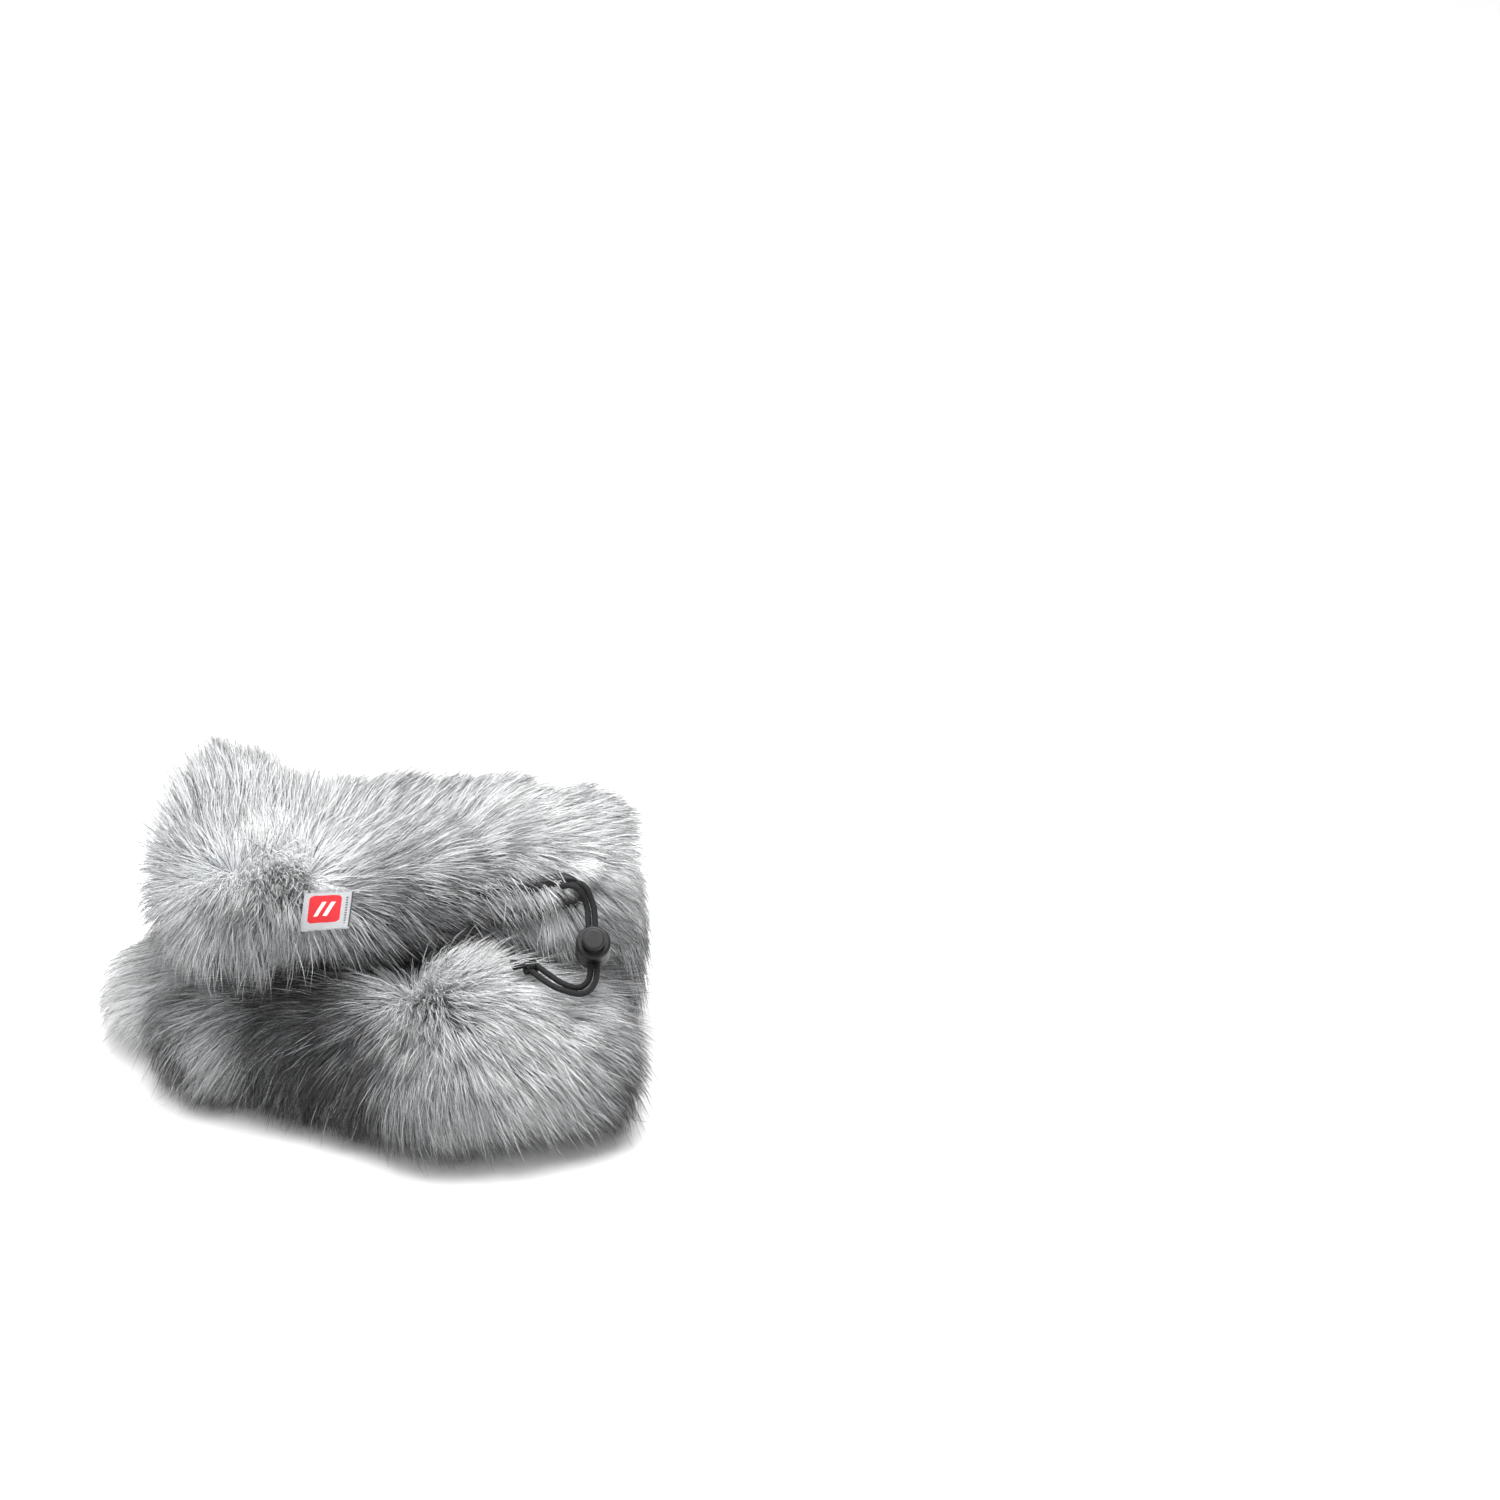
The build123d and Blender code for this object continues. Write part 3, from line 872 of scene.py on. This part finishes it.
def near_line(line, radius, outward, reach):
    """A test for points within radius of a line, or of the line moved outward by up to reach."""
    samples = line[:: max(1, len(line) // 28)]
    steps = np.linspace(0, reach, 7)
    cloud = (samples[:, None] + np.array(outward)[None, None] * steps[None, :, None]).reshape(-1, 3)
    low, high = cloud.min(0) - radius, cloud.max(0) + radius

    def inside(p):
        found = np.zeros(len(p), bool)
        near = np.flatnonzero(((p > low) & (p < high)).all(1))
        for start in range(0, len(near), 4000):
            part = near[start : start + 4000]
            d = np.linalg.norm(p[part][:, None] - cloud[None], axis=2)
            found[part] = d.min(1) < radius
        return found

    return inside


def near_lock(p):
    """Round the cord lock and before its button, with room to slide up its cords."""
    back = np.array(lock_frame().inverted())
    local = p @ back[:3, :3].T + back[:3, 3]
    across = np.hypot(local[:, 0], local[:, 1])
    over = (across < 0.0080) & (local[:, 2] > -0.0095) & (local[:, 2] < 0.030)
    seen = (np.abs(local[:, 0]) < 0.0070) & (local[:, 2] > -0.0090) & (local[:, 2] < 0.006)
    in_front = seen & (local[:, 1] < 0) & (local[:, 1] > -0.020)
    slid = (np.abs(local[:, 0]) < 0.0078) & (local[:, 1] > 0) & (local[:, 1] < 0.015)
    return over | in_front | (slid & (local[:, 2] > -0.009) & (local[:, 2] < 0.02))


# ---------------------------------------------------------------- fur on each half

# where the pile is painted paler (+) or darker (-): place, width, how much. Swirl middles and tufts are the
# hair's own colour; the places marked below are painted light and shade
PILE_TONES_AND_PAINTED_LIGHT = [
    ((-0.045, 0.000, 0.092), 0.024, 0.34),
    ((-0.044, -0.004, 0.091), 0.012, 0.45),
    ((0.022, -0.038, 0.054), 0.012, 0.35),
    ((-0.030, -0.030, 0.058), 0.020, -0.36),
    ((-0.030, 0.035, 0.095), 0.034, 0.18),
    ((-0.070, 0.062, 0.092), 0.030, 0.26),
    ((-0.080, 0.010, 0.084), 0.020, -0.30),
    ((-0.060, -0.026, 0.064), 0.022, -0.30),
    # painted shade in the crease between the label and the lower lobe, partly the hair's own dark colour
    ((-0.010, -0.022, 0.064), 0.030, -0.46),
    ((0.030, -0.012, 0.070), 0.026, -0.50),
    ((0.006, 0.062, 0.088), 0.020, -0.26),
    ((0.055, 0.030, 0.096), 0.034, 0.26),
    ((0.088, 0.020, 0.090), 0.026, 0.16),
    ((0.066, -0.006, 0.088), 0.016, 0.34),
    # painted shadow beside the cord and its lock
    ((0.088, -0.014, 0.078), 0.014, -0.34),
    ((0.100, 0.000, 0.050), 0.026, -0.25),
    # painted highlight on the lit top of the lower lobe
    ((0.042, -0.044, 0.056), 0.030, 0.60),
    ((0.062, -0.066, 0.042), 0.024, 0.26),
    ((0.026, -0.076, 0.026), 0.022, 0.05),
    # painted shade in the crease between the lower lobes, on the lower right front and along the bottom
    ((-0.010, -0.050, 0.032), 0.024, -0.55),
    ((0.092, -0.056, 0.024), 0.028, -0.62),
    ((0.020, -0.074, 0.004), 0.030, -0.45),
    ((0.070, -0.078, 0.004), 0.024, -0.30),
    # painted highlight: the pale patch on the lower-left front
    ((-0.060, -0.030, 0.042), 0.016, 0.80),
    ((-0.060, -0.030, 0.026), 0.012, 0.30),
    # painted shade on the lower-left front and along its bottom
    ((-0.040, -0.020, 0.030), 0.030, -0.46),
    ((-0.082, -0.010, 0.030), 0.018, -0.42),
    ((-0.060, -0.020, 0.006), 0.026, -0.34),
    # painted light on the backlit left end
    ((-0.104, 0.034, 0.030), 0.034, 0.70),
]


def tone_and_painted_light(p):
    """How much paler or darker the pile is painted at each place: the hair's own colour, and painted light
    and shade.
    """
    total = np.zeros(len(p))
    for centre, width, amount in PILE_TONES_AND_PAINTED_LIGHT:
        total += amount * bell(p, centre, width)
    return total


def shades(p, rng):
    """Each strand's shade: random patches, the hair's own pale and dark places with painted light and shade
    from the tone table, and a share of dark guard hairs.
    """
    patch = smooth_noise(p, 34, 2) * 0.14 + smooth_noise(p, 90, 4) * 0.12
    value = 0.55 + patch + tone_and_painted_light(p) + rng.normal(0, 0.20, len(p))
    value = np.where(rng.random(len(p)) < 0.20, rng.uniform(0.02, 0.24, len(p)), value)
    return np.clip(value, 0.02, 0.985)


def grow(name, skin, count, flow, density, rise_at, length_at, keep_out, seed, squeeze, mat, place=None):
    """Fur on one skin, as a list of pieces small enough to stay whole in the export."""
    rng = np.random.default_rng(seed)
    roots, normals = sample_skin(skin, count, density, rng)
    roots = place(roots) if place else roots
    paths = comb(roots, normals, flow, rng, rise_at, length_at)
    paths = squeeze(ruffle(paths, roots, rng))
    keep = thin_near(paths, keep_out)
    paths, roots = paths[keep], roots[keep]
    radius = rng.uniform(*STRAND_RADIUS, len(paths)) * 1.0
    shade = shades(roots, rng)
    made = []
    order = np.argsort(roots[:, 0])
    for part in np.array_split(order, math.ceil(len(order) / STRANDS_PER_PIECE)):
        title = f"{name}_{len(made) + 1:02d}"
        made.append(strand_mesh(title, paths[part], radius[part], shade[part], mat))
    return made


def above_floor(paths):
    """Strands bend along the surface the cover lies on, and none flies far out of its outer shape."""
    low = 0.0006
    paths[..., 2] = np.where(paths[..., 2] < low, low + 0.03 * (low - paths[..., 2]), paths[..., 2])
    soft = 0.005
    for axis, reach in ((0, 0.122), (1, 0.100), (2, 0.1155)):
        start = reach - soft
        over = np.abs(paths[..., axis]) - start
        held = start + soft * (1 - np.exp(-np.clip(over, 0, None) / soft))
        paths[..., axis] = np.where(over > 0, np.sign(paths[..., axis]) * held, paths[..., axis])
    return paths


def squeeze_lower(paths):
    """Under the upper half the pile is pressed flat."""
    covered = (paths[..., 1] > -0.016) & (paths[..., 0] < 0.090)
    top = HINGE[2] - 0.0012
    z = paths[..., 2]
    limit = np.where(z > top - 0.006, np.minimum(z, top - 0.0015 + 0.04 * (z - top)), z)
    paths[..., 2] = np.where(covered, limit, z)
    return above_floor(paths)


def squeeze_upper(paths):
    """On top of the lower half the pile is pressed flat, and it hangs free in front."""
    covered = paths[..., 1] > -0.012
    low = HINGE[2] + 0.0015
    z = paths[..., 2]
    paths[..., 2] = np.where(covered, np.maximum(z, low + 0.04 * (z - low)), z)
    return above_floor(paths)


# tufts that stand off the pile: where, how wide, and how far their tips are carried
RUFFLES = [
    ((-0.060, 0.056, 0.084), 0.022, (-0.001, 0.004, 0.017)),
    ((-0.080, 0.036, 0.080), 0.012, (-0.003, 0.002, 0.007)),
    ((0.000, 0.062, 0.084), 0.010, (0.003, 0.003, 0.005)),
    ((0.040, 0.060, 0.084), 0.012, (0.004, 0.002, 0.004)),
    ((-0.104, 0.030, 0.030), 0.026, (-0.006, -0.004, 0.003)),
    ((0.098, -0.060, 0.030), 0.020, (0.008, -0.003, 0.002)),
]


def ruffle(paths, roots, rng):
    """Carry the tips of the tufts' strands outward."""
    for centre, width, carry in RUFFLES:
        near = bell(roots, centre, width) * rng.uniform(0.3, 1.2, len(roots))
        amount = near[:, None, None] * (RING_AT**1.3)[None, :, None]
        paths = paths + amount * np.array(carry)
    return paths


def tufts(p, spots):
    """Where the pile stands up in a tuft: how much it does."""
    total = np.zeros(len(p))
    for centre, width in spots:
        total += bell(p, centre, width)
    return np.clip(total, 0, 1)


UPPER_TUFTS = [((-0.060, 0.062, 0.088), 0.024)]


def fringe(p, n):
    """The lower front edge of the upper half, where the pile hangs down over the lower half."""
    low = np.clip((0.074 - p[:, 2]) / 0.010, 0, 1)
    uneven = 0.75 + 0.6 * smooth_noise(p, 70, 6)
    return low * np.clip(-n[:, 1] * 2, 0, 1) * np.clip((0.0 - p[:, 0]) / 0.02, 0, 1) * uneven


def behind_fold(p, n):
    """How much a place of a half's end lies behind the wall that goes round the fold."""
    at_end = np.clip((p[:, 0] - 0.080) / 0.01, 0, 1) * np.clip((p[:, 1] + 0.016) / 0.01, 0, 1)
    return at_end * np.clip(n[:, 0] * 1.4 - 0.2, 0, 1)


def downward(n, gain):
    return np.clip(-n[:, 2] * gain, 0, 1)


def inner_side(p, n):
    """The lower half's top, where the upper half lies on it."""
    return np.clip(n[:, 2] * 2 - 0.8, 0, 1) * np.clip((p[:, 1] + 0.016) / 0.012, 0, 1)


def upper_fur(skin, mat, keep_out):
    def density(p, n):
        under = downward(n, 2)
        back = np.clip(n[:, 1], 0, 1)
        hidden = behind_fold(p, n)
        open_middle = 1 + 1.8 * tufts(p, [(SWIRL_UPPER, 0.013), (RUFFLES[0][0], 0.020), (CASING_END, 0.013)])
        return (1 - 0.62 * under) * (1 - 0.15 * back) * (1 - 0.9 * hidden) * open_middle

    def rise(p, n):
        under = downward(n, 2)
        standing = 0.40 + 0.36 * tufts(p, UPPER_TUFTS) + 0.30 * tufts(p, [(SWIRL_UPPER, 0.012)])
        return standing * (1 - under) * (1 - 0.3 * fringe(p, n)) + 0.20 * under

    def length(p, n):
        under = downward(n, 2)
        return PILE_LENGTH * (1 - 0.25 * under) + 0.011 * tufts(p, UPPER_TUFTS) - 0.009 * fringe(p, n)

    return grow("fur_upper", skin, HALF_STRANDS, flow_upper, density, rise, length, keep_out, 11,
                squeeze_upper, mat, to_rim)


def lower_fur(skin, mat, keep_out):
    def density(p, n):
        under, inner = downward(n, 1.6), inner_side(p, n)
        open_middle = 1 + 1.6 * tufts(p, [(SWIRL_LOBE, 0.013)])
        return (1 - 0.75 * under) * (1 - 0.62 * inner) * (1 - 0.9 * behind_fold(p, n)) * open_middle

    def rise(p, n):
        under, inner = downward(n, 1.6), inner_side(p, n)
        return 0.40 + 0.30 * tufts(p, [(SWIRL_LOBE, 0.012)]) - 0.20 * np.maximum(inner, under)

    def length(p, n):
        return PILE_LENGTH * (1 - 0.35 * downward(n, 1.6))

    return grow("fur_lower", skin, HALF_STRANDS, flow_lower, density, rise, length, keep_out, 23,
                squeeze_lower, mat)


def fold_fur(skin, mat):
    def density(p, n):
        return np.where(n[:, 0] > 0.1, 1.0, 0.02) + 0.4 * (np.abs(n[:, 1]) > 0.5)

    return grow("fur_fold", skin, FOLD_STRANDS, flow_fold, density, lambda p, n: np.full(len(p), 0.42),
                lambda p, n: np.full(len(p), FOLD_PILE_LENGTH), [], 37, above_floor, mat)


# ---------------------------------------------------------------- trims

def make_knot(mat):
    """An overhand knot of the two cord ends, drawn tight, with two short cut ends."""
    turns = []
    for i in range(27):
        a = 2 * math.pi * i / 27 * 0.93
        r = 0.0019 + 0.0007 * math.cos(3 * a)
        turns.append((
            KNOT.x + (math.sin(a) + 2 * math.sin(2 * a)) * r * 0.62,
            KNOT.y + (math.cos(a) - 2 * math.cos(2 * a)) * r * 0.62,
            KNOT.z - 0.0002 - math.sin(3 * a) * 0.0016,
        ))
    knot = nurbs("drawcord_knot", turns, CORD_D * 0.44)
    knot.data.materials.append(mat)
    ends = []
    for name, way in (
        ("cord_cut_end_left", (-0.0062, 0.0022, 0.0006)),
        ("cord_cut_end_right", (-0.0058, -0.0018, 0.0012)),
    ):
        start = KNOT + Vector((-0.0012, way[1] * 0.4, 0.0))
        middle = KNOT + Vector((way[0] * 0.6, way[1] * 0.9, way[2] * 1.6))
        stop = KNOT + Vector((way[0] * 1.25, way[1] * 1.4, way[2] * 0.4))
        end = nurbs(name, [tuple(start), tuple(middle), tuple(stop)], CORD_D * 0.45)
        end.data.materials.append(mat)
        ends.append(end)
    for piece in [knot, *ends]:
        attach(piece, "upper_half")
    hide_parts("cord_end_knot")
    return [knot, *ends]


def make_cords(mat, knot):
    for name, route, node_name in (
        ("drawcord_left", LEFT_ROUTE, "drawcord_left_strand"),
        ("drawcord_right", RIGHT_ROUTE, "drawcord_right_strand"),
    ):
        piece = nurbs(name, route, CORD_D / 2)
        piece.data.materials.append(mat)
        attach(piece, "upper_half")
        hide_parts(node_name)
        length_of(line_of(route))


def make_label():
    """A folded damask label: silver-grey ground, a plain red block with two slanted pale bars."""
    down, out, pivot = Vector(LABEL_DOWN), Vector(LABEL_OUT), Vector(LABEL_AT)
    wide, tall = 140, 105
    gap = 0.00032
    profile = [(i / tall * (LABEL_L - gap), gap) for i in range(tall + 1)]
    for i in range(1, 9):
        a = math.pi * i / 9
        profile.append((LABEL_L - gap + math.sin(a) * gap, math.cos(a) * gap))
    profile += [(i / tall * (LABEL_L - gap), -gap) for i in range(tall, -1, -3)]
    points, faces, zones = [], [], []
    for w, o in profile:
        for j in range(wide + 1):
            x = (j / wide - 0.5) * LABEL_W
            bow = 0.0009 * math.sin(math.pi * w / LABEL_L) * math.cos(math.pi * x / LABEL_W)
            curl = 0.0030 * (w / LABEL_L) ** 2 * (x / LABEL_W - 0.2) + 0.0002 * math.sin(x * 900 + w * 300)
            lean = -0.0024 * (w / LABEL_L - 0.4)
            points.append(pivot + Vector((x + lean, 0, 0)) + down * w + out * (o + bow + curl))
    for i in range(len(profile) - 1):
        for j in range(wide):
            a = i * (wide + 1) + j
            faces.append((a, a + wide + 1, a + wide + 2, a + 1))
            v = (profile[i][0] + profile[i + 1][0]) / 2 / LABEL_L
            zones.append(label_zone((j + 0.5) / wide, v) if i < tall else 0)
    mesh = bpy.data.meshes.new("woven_label_cloth")
    mesh.from_pydata(points, [], faces)
    mesh.polygons.foreach_set("material_index", zones)
    mesh.shade_smooth()
    for name, dark, light in (
        ("label_ground", (0.26, 0.27, 0.29), (0.60, 0.61, 0.63)),
        ("label_red", (0.45, 0.003, 0.008), (0.75, 0.010, 0.02)),
        ("label_pale", (0.70, 0.68, 0.68), (0.95, 0.93, 0.93)),
        ("label_dark", (0.015, 0.015, 0.018), (0.09, 0.09, 0.10)),
    ):
        mesh.materials.append(woven_material(name, dark, light, 1500, 0.7))
    label = add_object("woven_label_cloth", mesh)
    solid = label.modifiers.new("solid", "SOLIDIFY")
    solid.thickness = 0.00027
    solid.offset = 1.0
    applied(label)
    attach(label, "label")
    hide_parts("woven_label")


def label_zone(u, v):
    """0 ground, 1 red block, 2 its slanted bars, 3 dark thread, for a place across and down."""
    if u > 0.965 or 0.985 < v:
        return 3
    if 0.865 < u < 0.905 and 0.14 < v < 0.86 and math.sin(v * 90) > -0.2:
        return 3
    block_u = (u - 0.12) / 0.66
    block_v = (v - 0.07) / 0.76
    corner = max(abs(block_u - 0.5) - 0.34, 0) ** 2 + max(abs(block_v - 0.5) - 0.32, 0) ** 2
    if corner > 0.17**2 or not 0 < block_u < 1 or not 0 < block_v < 1:
        return 0
    slant = block_u - 0.5 + 0.45 * (block_v - 0.5)
    return 2 if abs(abs(slant) - 0.14) < 0.065 and abs(block_v - 0.5) < 0.25 else 1


def dress(names, mat):
    """The CAD nodes whose shape is right get their finished material."""
    for name in names:
        data = frame["nodes"][name].data
        paint(data, mat)
        data.polygons.foreach_set("material_index", [0] * len(data.polygons))


def dress_cad(thread):
    dress(["hem_stitching", "label_stitching"], thread)
    hem = woven_material("hem_fabric", (0.008, 0.008, 0.009), (0.05, 0.05, 0.055), 1100)
    dress(["opening_hem_casing"], hem)
    bartack = woven_material("black_thread", (0.006, 0.006, 0.007), (0.04, 0.04, 0.044), 2200)
    dress(["cord_exit_bartacks"], bartack)
    dress(["cord_lock_barrel", "cord_lock_plunger"], plastic_material())
    dress(["cord_lock_spring"], steel_material())


# ---------------------------------------------------------------- stage

def make_stage():
    mesh = bpy.data.meshes.new("floor")
    size = 4.0
    corners = [(-size, -size, 0), (size, -size, 0), (size, size, 0), (-size, size, 0)]
    mesh.from_pydata(corners, [], [(0, 1, 2, 3)])
    mesh.materials.append(floor_material())
    floor = add_object("floor", mesh)

    world = bpy.data.worlds.new("studio")
    bpy.context.scene.world = world
    world.use_nodes = True
    sky = world.node_tree.nodes["Background"].inputs
    sky["Color"].default_value = (1.0, 1.0, 1.0, 1.0)
    sky["Strength"].default_value = 0.50

    for name, place, aim, size, power in (
        ("key", (0.15, 0.12, 1.50), (0.0, 0.0, 0.05), 1.1, 37.0),
        ("fill", (-0.5, -1.3, 0.8), (0.0, 0.0, 0.05), 1.1, 3.5),
        ("left", (-1.0, 0.55, 0.45), (-0.08, 0.0, 0.05), 0.6, 7.0),
    ):
        data = bpy.data.lights.new(name, "AREA")
        data.size = size
        data.energy = power
        lamp = add_object(name, data)
        lamp.location = place
        lamp.rotation_euler = (Vector(aim) - Vector(place)).to_track_quat("-Z", "Y").to_euler()


# ---------------------------------------------------------------- build

make_camera()
black_cord = cord_material()
dress(["drawcord_hem_loop"], black_cord)
make_cords(black_cord, make_knot(black_cord))
thread = woven_material("grey_thread", (0.2, 0.2, 0.21), (0.5, 0.5, 0.52), 2200)
dress_cad(thread)
make_label()

pile = fur_material()
underfur = underfur_material()
over_cords = []
for line in (line_of(LEFT_ROUTE), line_of(RIGHT_ROUTE)):
    seen = line[line[:, 0] + 0.4 * (line[:, 1] < -0.03) > 0.0785]
    over_cords.append(near_line(seen, 0.0025, (0.0, -0.80, 0.60), 0.020))
keep_out = [in_label, near_lock, *over_cords]

lower = lower_skin()
upper = upper_skin()
fold = fold_skin()
for skin in (lower, upper, fold):
    paint(skin.data, underfur)

lower_pieces = lower_fur(lower, pile, keep_out)
upper_pieces = upper_fur(upper, pile, keep_out)
fold_pieces = fold_fur(fold, pile)
cut_away(upper, in_slit)  # the slit itself, behind the hemmed casing

knit = woven_material("knit_backing", (0.10, 0.105, 0.115), (0.34, 0.35, 0.37), 900)
tape = woven_material("seam_tape", (0.03, 0.03, 0.033), (0.12, 0.12, 0.125), 1200)
for skin, half in ((lower, "lower"), (upper, "upper")):
    lining = lining_of(skin, f"knit_lining_{half}", 0.003, knit)
    band = band_of(lining, f"seam_tape_band_{half}", tape)
    row = seam_stitches(band, f"seam_stitches_{half}", thread)
    for piece in (lining, band, row):
        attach(piece, f"{half}_half")
    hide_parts(f"backing_{half}", f"backing_{half}_end")
    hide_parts(f"seam_tape_{half}")
    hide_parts(f"seam_thread_{half}")
fold_lining = lining_of(fold, "knit_lining_fold", 0.0008, knit)
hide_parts("backing_fold")

for piece in [lower, *lower_pieces]:
    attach(piece, "lower_half")
for piece in [upper, *upper_pieces]:
    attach(piece, "upper_half")
for piece in [fold, fold_lining, *fold_pieces]:
    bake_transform(piece)
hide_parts("fur_lower_panel", "fur_lower_end_panel")
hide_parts("fur_upper_panel", "fur_upper_end_panel")
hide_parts("fur_fold_wall")

make_stage()
